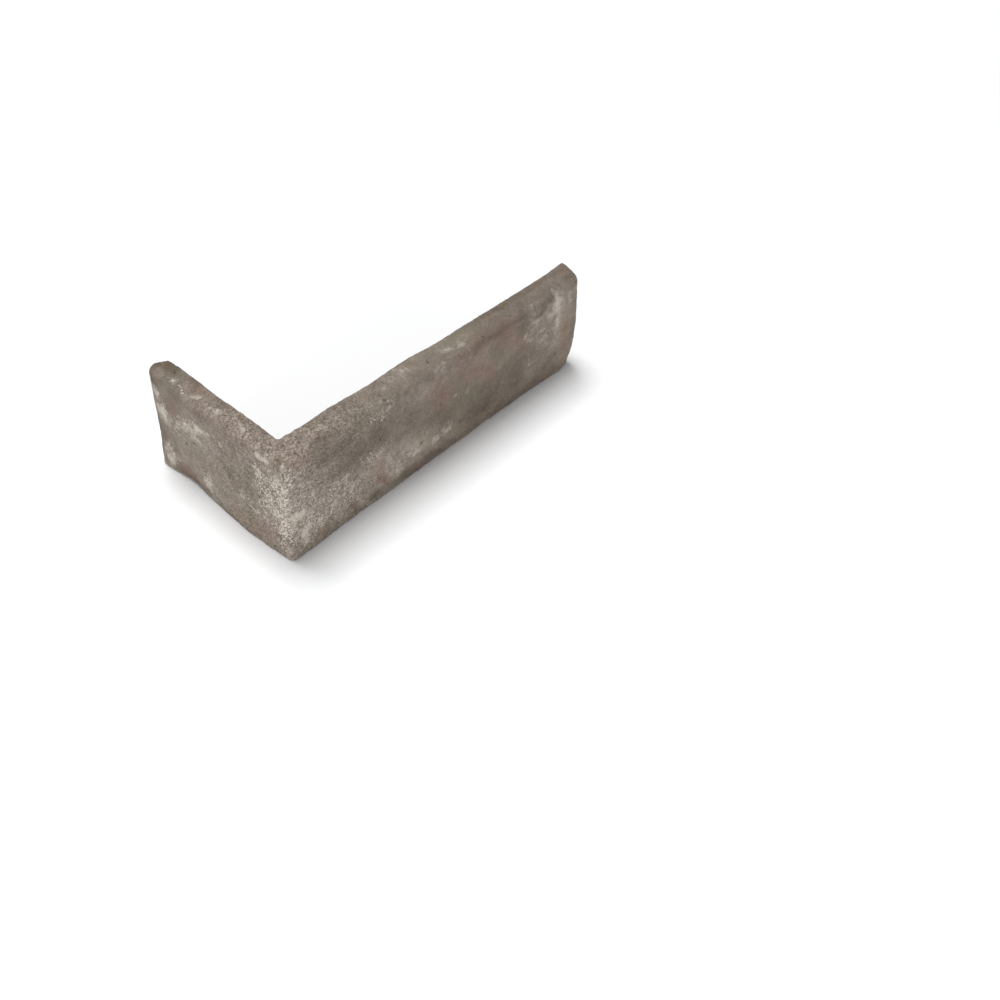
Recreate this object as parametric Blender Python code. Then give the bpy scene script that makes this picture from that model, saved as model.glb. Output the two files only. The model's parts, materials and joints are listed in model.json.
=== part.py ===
"""A corner brick slip: the L-shaped skin of a hand-moulded brick, sawn from the corner of a fired brick.

It stands on its struck bed, as it is laid: the stretcher runs along +X, the header return along +Y and the
course height along +Z. The origin is the middle of its bounding box, on the floor.

It is made the way the real one is. A soft-mud brick is moulded, with uneven faces and worn arrises, its
underside is struck off flat, and a saw takes out the inside, which leaves two flat backs to bond to a wall.
"""

from math import radians

import bmesh
import bpy
from mathutils import Vector, noise

MM = 0.001

# Work sizes of the slip, over its outside faces
STRETCHER_LENGTH = 215 * MM
HEADER_LENGTH = 102.5 * MM
COURSE_HEIGHT = 65 * MM
STRETCHER_THICKNESS = 15.5 * MM
HEADER_THICKNESS = 12.5 * MM

# Arrises left by the mould: the upright ones at the two free ends are worn rounder than the rest
ARRIS_RADIUS = 3.0 * MM
ARRIS_SEGMENTS = 3
END_ARRIS_RADIUS = 5.0 * MM
END_ARRIS_SEGMENTS = 4

# The small radius that the two saw cuts leave where they meet
SAW_CORNER_RADIUS = 1.5 * MM
SAW_CORNER_SEGMENTS = 3

# Spare clay under the bed, which is struck off flat
STRIKE_ALLOWANCE = 2.5 * MM

# How much the top has slumped at the stretcher's free end, where the brick was lifted while soft
SLUMP = 2.5 * MM

# Unevenness of the moulded faces: a slow swell and a shorter ripple
SWELL_HEIGHT = 0.45 * MM
SWELL_LENGTH = 55 * MM
RIPPLE_HEIGHT = 0.3 * MM
RIPPLE_LENGTH = 17 * MM
UNEVENNESS_SEED = 3

# Spacing of the blank's facets, and how far a cutter runs past what it cuts
FACET = 6.0 * MM
CUTTER_OVERRUN = 20 * MM

# Edges sharper than this stay crisp: where the saw and the strike met the moulded faces
CRISP_ANGLE = radians(35)

# The corner where the outside faces meet, and the one where the sawn backs meet
OUTSIDE_X = -STRETCHER_LENGTH / 2
OUTSIDE_Y = -HEADER_LENGTH / 2
BACK_X = OUTSIDE_X + HEADER_THICKNESS
BACK_Y = OUTSIDE_Y + STRETCHER_THICKNESS
END_X = STRETCHER_LENGTH / 2
END_Y = HEADER_LENGTH / 2

# Places that were pressed out of line: where, how wide the place is, and which way and how far it moved
PRESSED_PLACES = (
    # the header's lower arris: full at both ends, with a hollow near the free end
    (Vector((OUTSIDE_X, OUTSIDE_Y + 24 * MM, 0)), 30 * MM, Vector((-0.95, 0, 0)) * MM),
    (Vector((OUTSIDE_X, END_Y - 6 * MM, 0)), 18 * MM, Vector((-1.0, 0, 0)) * MM),
    (Vector((OUTSIDE_X, END_Y - 26 * MM, 0)), 20 * MM, Vector((0.8, 0, 2.8)) * MM),
    # the header's free end, which is domed at its top and drops away at its back
    (Vector((BACK_X - 5 * MM, END_Y, COURSE_HEIGHT)), 10 * MM, Vector((0, 2.6, 1.3)) * MM),
    (Vector((BACK_X, END_Y, COURSE_HEIGHT)), 12 * MM, Vector((0, -3.2, -2.0)) * MM),
    (Vector((OUTSIDE_X, END_Y, COURSE_HEIGHT)), 10 * MM, Vector((0.1, -0.8, -1.5)) * MM),
    # the outside corner, which leans towards the stretcher
    (Vector((OUTSIDE_X, OUTSIDE_Y, COURSE_HEIGHT)), 40 * MM, Vector((1.8, -1.0, 0)) * MM),
    (Vector((OUTSIDE_X, OUTSIDE_Y, 0)), 40 * MM, Vector((1.2, -1.0, 0)) * MM),
    # the top round the inside corner and three swellings along the backs, which stand proud
    (Vector((BACK_X, BACK_Y, COURSE_HEIGHT)), 45 * MM, Vector((0, 0, 1.8)) * MM),
    (Vector((BACK_X, BACK_Y + 24 * MM, COURSE_HEIGHT)), 28 * MM, Vector((0, 0, 0.7)) * MM),
    (Vector((BACK_X + 38 * MM, BACK_Y, COURSE_HEIGHT)), 30 * MM, Vector((0, 0, 1.4)) * MM),
    (Vector((BACK_X + 80 * MM, BACK_Y, COURSE_HEIGHT)), 25 * MM, Vector((0, 0, 1.8)) * MM),
    # the stretcher's lower arris, set back near the corner and worn off from there to its free end
    (Vector((END_X - 160 * MM, OUTSIDE_Y, 0)), 32 * MM, Vector((0, 0.5, 0)) * MM),
    (Vector((END_X - 118 * MM, OUTSIDE_Y, 0)), 36 * MM, Vector((0, 0.5, 2.2)) * MM),
    (Vector((END_X - 82 * MM, OUTSIDE_Y, 0)), 34 * MM, Vector((0, 0.5, 2.2)) * MM),
    (Vector((END_X - 40 * MM, OUTSIDE_Y, 0)), 50 * MM, Vector((0, 1.0, 2.6)) * MM),
    (Vector((END_X, OUTSIDE_Y, 0)), 14 * MM, Vector((-1.9, 0.8, 2.4)) * MM),
    # the stretcher's free end: full at half height, worn at its top, with a proud tip at its back
    (Vector((END_X, OUTSIDE_Y, 0.45 * COURSE_HEIGHT)), 24 * MM, Vector((1.2, -0.3, 0)) * MM),
    (Vector((END_X, OUTSIDE_Y, COURSE_HEIGHT)), 12 * MM, Vector((-0.2, 0.6, 0.3)) * MM),
    (Vector((END_X, BACK_Y, COURSE_HEIGHT)), 14 * MM, Vector((1.9, 0, 1.6)) * MM),
)


def clear_scene():
    for item in list(bpy.data.objects):
        bpy.data.objects.remove(item)


def collection(name):
    made = bpy.data.collections.new(name)
    bpy.context.scene.collection.children.link(made)
    return made


def fired_clay():
    """Taupe sanded clay, dull all over."""
    clay = bpy.data.materials.new("sanded_fired_clay")
    clay.use_nodes = True
    shader = clay.node_tree.nodes["Principled BSDF"]
    shader.inputs["Base Color"].default_value = (0.235, 0.195, 0.165, 1)
    shader.inputs["Roughness"].default_value = 0.9
    shader.inputs["Metallic"].default_value = 0
    return clay


def box_between(low, high):
    """A bmesh box with its corners at low and high."""
    bm = bmesh.new()
    bmesh.ops.create_cube(bm, size=1)
    bmesh.ops.scale(bm, vec=high - low, verts=bm.verts)
    bmesh.ops.translate(bm, vec=(low + high) / 2, verts=bm.verts)
    return bm


def new_object(name, bm, home):
    mesh = bpy.data.meshes.new(name)
    bm.to_mesh(mesh)
    bm.free()
    mesh.shade_smooth()
    mesh.set_sharp_from_angle(angle=CRISP_ANGLE)
    made = bpy.data.objects.new(name, mesh)
    home.objects.link(made)
    return made


def cut_into_facets(bm, low, high):
    """Slices the box along all three axes, so that its faces can swell and dip."""
    for axis in range(3):
        across = Vector([float(axis == i) for i in range(3)])
        count = max(1, round((high - low)[axis] / FACET))
        step = (high - low)[axis] / count
        for i in range(1, count):
            bmesh.ops.bisect_plane(
                bm,
                geom=bm.verts[:] + bm.edges[:] + bm.faces[:],
                plane_co=low + across * step * i,
                plane_no=across,
            )


def round_off(bm, edges, radius, segments):
    bmesh.ops.bevel(
        bm,
        geom=edges,
        offset=radius,
        segments=segments,
        profile=0.5,
        affect="EDGES",
        material=-1,
    )


def round_the_arrises(bm, high):
    upright_ends = [
        edge
        for edge in bm.edges
        if all(vert.co.x == high.x for vert in edge.verts) != all(vert.co.y == high.y for vert in edge.verts)
        and edge.verts[0].co.xy == edge.verts[1].co.xy
    ]
    round_off(bm, upright_ends, END_ARRIS_RADIUS, END_ARRIS_SEGMENTS)
    square = [edge for edge in bm.edges if edge.calc_face_angle() > 1]
    round_off(bm, square, ARRIS_RADIUS, ARRIS_SEGMENTS)


def unevenness(place):
    """How far the clay has moved at a place when it left the mould."""
    swell = noise.noise_vector(place / SWELL_LENGTH) * SWELL_HEIGHT
    ripple = noise.noise_vector(place / RIPPLE_LENGTH) * RIPPLE_HEIGHT
    return swell + ripple


def pressed(place):
    """How far the clay has slumped, been knocked or been worn out of line at a place."""
    moved = Vector((0, 0, -SLUMP * (place.x - OUTSIDE_X) / STRETCHER_LENGTH * place.z / COURSE_HEIGHT))
    for centre, radius, press in PRESSED_PLACES:
        share = (place - centre).length / radius
        if share < 1:
            moved += press * (1 - share**2) ** 2
    return moved


def moulded_brick(home):
    """The whole brick as it left the mould, with a little clay to spare under its bed."""
    low = Vector((OUTSIDE_X, OUTSIDE_Y, -STRIKE_ALLOWANCE))
    high = Vector((END_X, END_Y, COURSE_HEIGHT))
    bm = box_between(low, high)
    round_the_arrises(bm, high)
    cut_into_facets(bm, low, high)
    for vert in bm.verts:
        vert.co += unevenness(vert.co) + pressed(vert.co)
    return new_object("corner_slip", bm, home)


def saw_block(home):
    """What the saw takes out: everything behind the two backs."""
    low = Vector((BACK_X, BACK_Y, -CUTTER_OVERRUN))
    high = Vector((END_X, END_Y, COURSE_HEIGHT)) + Vector((1, 1, 1)) * CUTTER_OVERRUN
    bm = box_between(low, high)
    corner = [
        edge
        for edge in bm.edges
        if all((vert.co.xy - low.xy).length < SAW_CORNER_RADIUS for vert in edge.verts)
    ]
    round_off(bm, corner, SAW_CORNER_RADIUS, SAW_CORNER_SEGMENTS)
    return new_object("saw_block", bm, home)


def strike_block(home):
    """What the strike takes off: the spare clay below the bed."""
    reach = Vector((1, 1, 0)) * CUTTER_OVERRUN
    low = Vector((OUTSIDE_X, OUTSIDE_Y, -CUTTER_OVERRUN)) - reach
    high = Vector((END_X, END_Y, 0)) + reach
    return new_object("strike_block", box_between(low, high), home)


def cut_away(body, cutter):
    cutter.hide_render = True
    cutter.display_type = "WIRE"
    cut = body.modifiers.new(cutter.name, "BOOLEAN")
    cut.operation = "DIFFERENCE"
    cut.object = cutter


def main():
    clear_scene()
    noise.seed_set(UNEVENNESS_SEED)
    product = collection("corner_brick_slip")
    cutters = collection("saw_and_strike")
    slip = moulded_brick(product)
    slip.data.materials.append(fired_clay())
    cut_away(slip, saw_block(cutters))
    cut_away(slip, strike_block(cutters))


main()
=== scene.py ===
# %% [markdown]
# # A corner brick slip, dressed in its fired clay
#
# A corner brick slip is the L-shaped skin of a brick, sawn from its corner and bonded round the corner of a
# wall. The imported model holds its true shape: two arms, soft arrises, flat sawn backs. This lesson gives it
# what the mould and the kiln gave the real one: sand grain, pits, folds, lime bloom, red clay under the skin.
# The frame is loaded first, because everything is measured from it.

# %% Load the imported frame
import json
from math import cos, pi, radians, sin

import bmesh
import bpy
from mathutils import Matrix, Vector, noise
from mathutils.bvhtree import BVHTree


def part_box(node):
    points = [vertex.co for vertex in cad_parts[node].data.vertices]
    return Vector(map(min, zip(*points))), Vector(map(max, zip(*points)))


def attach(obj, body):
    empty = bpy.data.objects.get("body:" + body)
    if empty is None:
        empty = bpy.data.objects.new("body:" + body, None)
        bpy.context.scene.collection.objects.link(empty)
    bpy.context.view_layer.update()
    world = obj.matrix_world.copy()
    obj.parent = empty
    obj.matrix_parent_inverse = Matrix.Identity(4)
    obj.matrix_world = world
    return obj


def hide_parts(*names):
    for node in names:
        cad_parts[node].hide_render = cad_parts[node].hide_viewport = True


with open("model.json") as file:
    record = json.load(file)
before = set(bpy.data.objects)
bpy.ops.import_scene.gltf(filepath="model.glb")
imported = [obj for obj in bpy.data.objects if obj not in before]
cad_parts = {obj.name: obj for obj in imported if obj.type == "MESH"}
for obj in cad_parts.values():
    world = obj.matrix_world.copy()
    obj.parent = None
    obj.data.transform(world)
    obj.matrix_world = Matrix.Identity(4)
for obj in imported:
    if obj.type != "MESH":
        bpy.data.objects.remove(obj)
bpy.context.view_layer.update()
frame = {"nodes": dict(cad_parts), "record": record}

MM = 0.001

# %% [markdown]
# ## Where the saw ran
#
# Every finish on this slip depends on one question: how deep in the brick is this spot? The sanded skin is
# outside, and the saw opened the red body behind it. The record gives the two backs as mounts, so their
# places are read from it, and nothing has to be measured twice.

# %% The two sawn backs and the outside corner
mount_at = {mount["name"]: Vector(mount["pos_m"]) for mount in frame["record"]["mounts"]}
BACK_X = mount_at["header_back"].x
BACK_Y = mount_at["stretcher_back"].y
slip_low, slip_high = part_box("corner_slip")
CORNER = slip_low.xy
BED_TOP = slip_high.z
print("backs at x, y, mm:", round(BACK_X / MM, 2), round(BACK_Y / MM, 2))


def behind_the_skin(place):
    """Negative inside the wall of the slip, and zero on either sawn back."""
    return min(place.x - BACK_X, place.y - BACK_Y)


# %% [markdown]
# ## The camera
#
# The photograph looks down on the outside corner with a normal lens. A camera can be aimed with a constraint,
# or by hand. Here its three axes are worked out from turn, tilt and roll, because then each number says
# something that can be checked against the photograph.

# %% Camera at the photograph's angle
LENS_MM = 50.0
CAMERA_TURN = radians(48.90)
CAMERA_TILT = radians(46.87)
CAMERA_ROLL = radians(-3.08)
CAMERA_DISTANCE = 771.8 * MM
SLIP_LEFT_OF_CENTRE = 71.2 * MM
SLIP_ABOVE_CENTRE = 46.8 * MM

turned = Matrix.Rotation(-CAMERA_TURN, 3, "Z")
level_right = turned @ Vector((1, 0, 0))
level_up = turned @ Vector((0, sin(CAMERA_TILT), cos(CAMERA_TILT)))
back = turned @ Vector((0, -cos(CAMERA_TILT), sin(CAMERA_TILT)))
right = level_right * cos(CAMERA_ROLL) - level_up * sin(CAMERA_ROLL)
up = level_right * sin(CAMERA_ROLL) + level_up * cos(CAMERA_ROLL)

camera = bpy.data.objects.new("camera", bpy.data.cameras.new("camera"))
bpy.context.scene.collection.objects.link(camera)
camera.data.sensor_width = 36
camera.data.lens = LENS_MM
camera.data.clip_start = 10 * MM
place = level_right * SLIP_LEFT_OF_CENTRE - level_up * SLIP_ABOVE_CENTRE + back * CAMERA_DISTANCE
camera.matrix_world = Matrix.Translation(place) @ Matrix((right, up, back)).transposed().to_4x4()
bpy.context.scene.camera = camera
print("camera at, mm:", [round(value / MM) for value in place])

# %% [markdown]
# ## Colours and nodes
#
# Colours are written as a paint shop would write them, in sRGB hex, and one function turns them into the
# linear numbers that shaders use. Another small function adds any node with its settings and links, which
# keeps a material readable from top to bottom.


# %% Helpers for colours and nodes
def linear(hex_colour):
    channels = []
    for start in (1, 3, 5):
        value = int(hex_colour[start : start + 2], 16) / 255
        channels.append(value / 12.92 if value <= 0.04045 else ((value + 0.055) / 1.055) ** 2.4)
    return (*channels, 1.0)


def add_node(tree, kind, inputs=None, **settings):
    """Adds a node and gives its outputs. An output among the inputs is linked, the rest are plain values."""
    node = tree.nodes.new(kind)
    for name, value in settings.items():
        setattr(node, name, value)
    for socket, value in (inputs or {}).items():
        if isinstance(value, bpy.types.NodeSocket):
            tree.links.new(value, node.inputs[socket])
        else:
            node.inputs[socket].default_value = value
    return node.outputs


def new_material(name):
    material = bpy.data.materials.new(name)
    material.use_nodes = True
    material.node_tree.nodes.clear()
    return material, material.node_tree


print("taupe clay in linear light:", [round(value, 3) for value in linear("#8f847b")[:3]])

# %% [markdown]
# ## Seen by the camera, or only lighting the slip
#
# A white sweep in a photograph is whiter than the paper it is made of, because the picture is exposed for
# that. More light would bleach the slip. So the floor and the world are white only for rays that show the
# background, and a little greyer for the rays that carry light to the slip.


# %% Which rays show the background
def camera_share(tree):
    """1 for rays that show the background: from the camera, mirrored or seen through glass."""
    rays = add_node(tree, "ShaderNodeLightPath")
    mirrored = {0: rays["Is Camera Ray"], 1: rays["Is Glossy Ray"]}
    either = add_node(tree, "ShaderNodeMath", mirrored, operation="MAXIMUM")[0]
    through = {0: either, 1: rays["Is Transmission Ray"]}
    return add_node(tree, "ShaderNodeMath", through, operation="MAXIMUM")[0]


print("ray kinds that count as seen: camera, glossy, transmission")

# %% [markdown]
# ## The white sweep
#
# The real slip was set down on matt white paper that curves up behind it. One big flat square does for it.
# Near the slip the paper is lit as it is and keeps the shadow, and its white is a touch cool, as brightened
# paper is. Further off, where lamps would leave it grey, the background rays see plain white, so no horizon
# shows from a low angle. The floor is marked as stage, because it isn't part of the object.

# %% Floor of matt white paper
FLOOR_REACH = 3.0
PAPER_WHITE = "#f1f1f1"
COOL_WHITE = "#fdfeff"
# metres from the slip: as far as the first the paper is lit, and from the second on it is plain white
SHADOW_KEPT = 0.25
PLAIN_WHITE_FROM = 0.60

sweep, tree = new_material("matt_white_paper")
paper = add_node(tree, "ShaderNodeBsdfDiffuse", {"Color": linear(PAPER_WHITE)})[0]
lit_white = add_node(tree, "ShaderNodeBsdfDiffuse", {"Color": linear(COOL_WHITE)})[0]
plain_white = add_node(tree, "ShaderNodeEmission", {"Color": (1, 1, 1, 1), "Strength": 1.0})[0]
from_slip = {0: add_node(tree, "ShaderNodeTexCoord")["Object"]}
away = add_node(tree, "ShaderNodeVectorMath", from_slip, operation="LENGTH")["Value"]
far_off = add_node(tree, "ShaderNodeMapRange", {0: away, 1: SHADOW_KEPT, 2: PLAIN_WHITE_FROM})[0]
seen_paper = add_node(tree, "ShaderNodeMixShader", {0: far_off, 1: lit_white, 2: plain_white})[0]
either = add_node(tree, "ShaderNodeMixShader", {0: camera_share(tree), 1: paper, 2: seen_paper})[0]
add_node(tree, "ShaderNodeOutputMaterial", {"Surface": either})

bm = bmesh.new()
bmesh.ops.create_grid(bm, x_segments=1, y_segments=1, size=FLOOR_REACH)
floor_mesh = bpy.data.meshes.new("floor")
bm.to_mesh(floor_mesh)
bm.free()
floor_mesh.materials.append(sweep)
floor = bpy.data.objects.new("floor", floor_mesh)
bpy.context.scene.collection.objects.link(floor)
print("floor, m:", 2 * FLOOR_REACH, "square")

# %% [markdown]
# ## The room
#
# A studio's white walls send a little light from everywhere. That fills the shadows and keeps them from going
# black. A dim, even world does the same, and its level sets how deep the slip's own shadow is.

# %% World
WORLD_LEVEL = 0.20

world = bpy.data.worlds.new("studio")
bpy.context.scene.world = world
world.use_nodes = True
tree = world.node_tree
tree.nodes.clear()
levels = {"Value": camera_share(tree), "To Min": WORLD_LEVEL, "To Max": 1.0}
strength = add_node(tree, "ShaderNodeMapRange", levels)[0]
sky = add_node(tree, "ShaderNodeBackground", {"Color": (1, 1, 1, 1), "Strength": strength})[0]
add_node(tree, "ShaderNodeOutputWorld", {"Surface": sky})
print("world level:", WORLD_LEVEL)

# %% [markdown]
# ## Soft lamps
#
# A sanded brick shows its texture only when light comes more from one side than from the other. The
# photograph has a broad lamp overhead and slightly behind, which lays a short shadow before the stretcher,
# and the header looks at the brighter side. A lamp's level is the share of plain light that it gives at the
# slip, and the power follows from its distance.

# %% Area lamps
LAMPS = (
    # name, place in metres, width and height in metres, level
    ("overhead", Vector((0.13, 0.95, 4.00)), (1.8, 2.0), 0.89),
    ("header_side", Vector((-3.60, -1.20, 0.70)), (2.4, 1.0), 0.46),
    ("stretcher_side", Vector((0.60, -3.80, 0.70)), (2.4, 1.0), 0.19),
)

for name, place, size, level in LAMPS:
    lamp = bpy.data.lights.new(name, "AREA")
    lamp.shape = "RECTANGLE"
    lamp.size, lamp.size_y = size
    lamp.energy = level * pi**2 * place.length_squared
    made = bpy.data.objects.new(name, lamp)
    made.location = place
    made.rotation_mode = "QUATERNION"
    made.rotation_quaternion = (-place).to_track_quat("-Z", "Y")
    bpy.context.scene.collection.objects.link(made)
    print("lamp", name, "watts:", round(lamp.energy, 2))

# %% [markdown]
# ## An even skin
#
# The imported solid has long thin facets, which is right for a drawing and wrong for relief: sand grain needs
# points everywhere. A copy of the solid is merged and rebuilt from even squares a little under a millimetre
# wide. A subdivision would keep the long facets, so a voxel remesh is used here.

# %% Rebuild the slip from even squares
SKIN_STEP = 0.76 * MM
SAME_POINT = 0.01 * MM

bm = bmesh.new()
bm.from_mesh(frame["nodes"]["corner_slip"].data)
bmesh.ops.remove_doubles(bm, verts=bm.verts, dist=SAME_POINT)
solid = BVHTree.FromBMesh(bm)
merged = bpy.data.meshes.new("merged_slip")
bm.to_mesh(merged)
bm.free()
blank = bpy.data.objects.new("slip_blank", merged)
bpy.context.scene.collection.objects.link(blank)
even = blank.modifiers.new("even_skin", "REMESH")
even.mode = "VOXEL"
even.voxel_size = SKIN_STEP
graph = bpy.context.evaluated_depsgraph_get()
even_mesh = bpy.data.meshes.new_from_object(blank.evaluated_get(graph))
bpy.data.objects.remove(blank)

skin = bmesh.new()
skin.from_mesh(even_mesh)
print("points:", len(skin.verts), "triangles:", sum(len(face.verts) - 2 for face in skin.faces))

# %% [markdown]
# ## Ease the faces, keep the edges
#
# The remesh leaves small steps, which a few smoothing passes take out. Smoothing also eats the edges, and a
# sawn edge is crisp on the real slip. So each point that has sunk away from the solid is put back on it, and
# the points on the faces, which hardly sank, stay eased.

# %% Smooth, then put the edges back
EASING_PASSES = 3
SUNK_A_LITTLE = 0.05 * MM
SUNK_TOO_FAR = 0.15 * MM


def ease(value, start, end):
    """0 at start and 1 at end, with a soft step between. Start may be the larger."""
    share = max(0.0, min(1.0, (value - start) / (end - start)))
    return share * share * (3 - 2 * share)


for _ in range(EASING_PASSES):
    bmesh.ops.smooth_vert(
        skin, verts=skin.verts, factor=0.5, use_axis_x=True, use_axis_y=True, use_axis_z=True
    )
put_back = 0
for vert in skin.verts:
    on_solid, _, _, sunk = solid.find_nearest(vert.co)
    share = ease(sunk, SUNK_A_LITTLE, SUNK_TOO_FAR)
    vert.co = vert.co.lerp(on_solid, share)
    put_back += share > 0.5
skin.normal_update()
print("edge points put back:", put_back)

# %% [markdown]
# ## Marks placed one by one
#
# Chance alone doesn't make this slip. Lime lies beside the outside arris and near the free ends, red clay
# rubs through here and there, and some places are fired darker. Some dark marks are painted shade, along the
# lower edges, in the deepest crease and along the top bed's back edge. Each mark is a soft ellipse on one of
# the three faces that show: the header, the stretcher or the top bed. A mark says where its middle is along
# the face, in millimetres on two axes, how far it reaches along both, and how strong it is. The places were
# read from the photograph. Written like this, a mark can be found on the slip with a ruler.

# %% The faces that carry marks
MARKED_FACES = {
    # the two axes that run along the face, the axis across it, and where the face is on that axis, in mm
    "header": (1, 2, 0, -107.0),
    "stretcher": (0, 2, 1, -51.3),
    "bed": (0, 1, 2, 65.0),
}
THROUGH_MM = 7.0
MARKS = {}
print("faces with marks:", ", ".join(MARKED_FACES))

# %% [markdown]
# ## Lime in grains
#
# Lime in the clay comes to the surface as it dries and settles on the sand. Where there is a lot, pale grains
# crowd together with dark gaps between them. On this slip they run down the header beside the outside arris.

# %% Marks: lime in grains
MARKS["lime"] = {
    "header": (
        (-46, 50, 7, 8, 0.9), (-50, 42, 5, 8, 0.8), (-36, 48, 5, 7, 0.7), (-39, 39, 6, 9, 0.65),
        (-46, 31, 7, 6, 0.85), (-50, 25, 4, 8, 0.8), (-36, 32, 4, 6, 0.55), (-47, 19, 6, 6, 0.65),
        (-47, 9, 5, 6, 0.55), (-50, 13, 3, 7, 0.5), (-32, 53, 4, 4, 0.45), (-42, 58, 5, 4, 0.35),
        (-22, 24, 8, 4, 0.3), (-30, 20, 7, 4, 0.35), (9, 14, 6, 7, 0.35), (14, 48, 9, 6, 0.35),
        (42, 44, 6, 10, 0.3), (24, 42, 10, 6, 0.3), (40, 12, 6, 10, 0.25),
    ),
    "stretcher": (
        (-103, 56, 2.5, 10, 0.5), (-99, 58, 4, 4, 0.25), (-97, 48, 8, 14, 0.25), (-96, 22, 9, 18, 0.22),
        (-74, 28, 12, 9, 0.28), (-84, 15, 10, 8, 0.25), (-68, 20, 10, 10, 0.2), (-47, 59, 6, 3, 0.3),
        (-41, 56, 5, 3, 0.28), (-50, 35, 9, 4, 0.3), (-62, 13, 5, 4, 0.25), (-28, 18, 14, 6, 0.2),
    ),
    "bed": (
        (-103, -20, 3, 5, 0.25), (-103, -4, 3, 10, 0.2), (-104, 24, 3, 3, 0.35),
        (-104, 33, 3, 4, 0.25),
    ),
}
print("lime in grains:", sum(map(len, MARKS["lime"].values())), "marks")

# %% [markdown]
# ## Lime as a film
#
# Elsewhere the lime dried as a thin chalky film with a soft, ragged rim, which hides the grain under it. It
# is a little greyer and greener than the loose grains.

# %% Marks: lime as a film
MARKS["bloom"] = {
    "header": (
        (42, 40, 5, 7, 0.65), (38, 34, 4, 4, 0.35), (45, 54, 4, 5, 0.45), (42, 16, 4, 5, 0.4),
        (41, 8, 4, 8, 0.45), (36, 13, 4, 3, 0.3), (43, 2, 5, 3, 0.35), (12, 49, 5, 4, 0.6),
        (20, 44, 8, 3.5, 0.5), (25, 41, 8, 4, 0.4), (29, 48, 2, 2, 0.4), (4, 50, 3, 2, 0.4),
        (15, 40, 6, 4, 0.35), (30, 37, 8, 6, 0.3), (-6, 50, 1.5, 2.5, 0.5), (10, 13, 5, 5, 0.5),
        (7, 4, 5, 4, 0.35), (-36, 62, 5, 2, 0.75), (-47, 56, 3, 4, 0.6),
        (-20, 23, 3, 2.5, 0.35), (-18, 18, 2, 2, 0.3), (-36, 21, 2.5, 2.5, 0.35),
    ),
    "stretcher": (
        (-100, 29, 4.2, 3.4, 0.9), (-102, 24, 3, 3.5, 0.5), (-96, 16, 2.6, 6, 0.9), (-97, 9, 3, 4, 0.5),
        (-86, 16, 3, 4, 0.55), (-83, 12, 3, 3, 0.35), (-37, 62, 6, 3, 0.35), (-46, 60, 5, 3, 0.3),
        (-33, 11, 6, 4, 0.3), (-20, 17, 5, 3, 0.4), (-4, 16, 5, 4, 0.3), (-70, 31, 5, 4, 0.42),
        (-50, 34, 9, 3, 0.32), (-78, 20, 5, 5, 0.42), (4, 17, 4, 7, 0.35), (9, 63, 3, 2, 0.25),
        (-64, 22, 3, 6, 0.35), (-90, 36, 4, 3, 0.3),
        (17, 60, 6, 4, 0.18), (17, 35, 4, 3, 0.25), (-1, 63, 4, 2, 0.3), (10, 39, 3, 2, 0.25),
        (88, 55, 4.5, 8, 0.6), (84, 50, 4, 3, 0.35), (89, 43, 3.5, 8, 0.42), (98, 54, 2.5, 7, 0.35),
        (70, 60, 4, 4, 0.32), (72, 52, 3, 2, 0.3), (63, 45, 3, 2, 0.4), (67, 42, 4, 2, 0.35),
        (76, 43, 5, 3, 0.35), (69, 25, 5, 4, 0.2), (43, 36, 3, 7, 0.2), (80, 36, 8, 4, 0.2),
    ),
    "bed": (
        (-103, 1, 2.5, 6, 0.5), (-103, 16, 3, 3, 0.45), (-104, 33, 3, 5, 0.5), (-103, -20, 2, 3, 0.6),
        (-30, -41, 18, 4, 0.25), (10, -43, 6, 3, 0.35), (18, -45, 4, 3, 0.4), (-105, -50, 4, 3, 0.4),
    ),
}
print("lime as a film:", sum(map(len, MARKS["bloom"].values())), "marks")

# %% [markdown]
# ## Red, ochre and olive clay
#
# The body of this brick is red. Where the sand is thin, or the mould rubbed it off, the skin turns pinkish or
# red brown. Iron near the edges fires to ochre, and sand with some ash in it to a dull olive.

# %% Marks: warm and cool clay
MARKS["red_clay"] = {
    "header": (
        (32, 51, 5, 9, 0.4), (30, 7, 7, 5, 0.5), (16, 6, 4, 3, 0.35), (-15, 8, 6, 5, 0.45),
        (-32, 8, 12, 7, 0.45), (-10, 64, 30, 3, 0.25), (-42, 16, 6, 6, 0.3),
    ),
    "stretcher": (
        (-45, 23, 4, 6, 0.45), (-45, 16, 4, 4, 1.0), (-41, 12, 3, 5, 1.0), (-63, 8, 3, 5, 0.8),
        (-86, 8, 4, 4, 0.3), (-4, 52, 6, 7, 0.45), (0, 43, 8, 9, 0.6), (-20, 7, 3, 3, 0.6),
        (12, 56, 5, 7, 0.5), (25, 58, 9, 8, 0.55), (24, 46, 8, 6, 0.65), (35, 40, 6, 7, 0.7),
        (38, 31, 4, 4, 0.5), (48, 56, 9, 9, 0.5), (55, 46, 6, 6, 0.5), (63, 39, 4, 4, 0.65),
        (98, 18, 4, 8, 0.5), (93, 46, 4, 8, 0.25), (-97, 64, 8, 4, 0.5),
    ),
    "bed": (
        (-99, -43, 10, 10, 0.25), (-101, -22, 8, 16, 0.2), (-84, -44, 12, 8, 0.2), (-103, -10, 3, 5, 0.35),
        (-99, 17, 3, 4, 0.6), (-101, 22, 3, 4, 0.5), (-102, 3, 8, 10, 0.1), (38, -50, 16, 3, 0.3),
    ),
}
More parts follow.
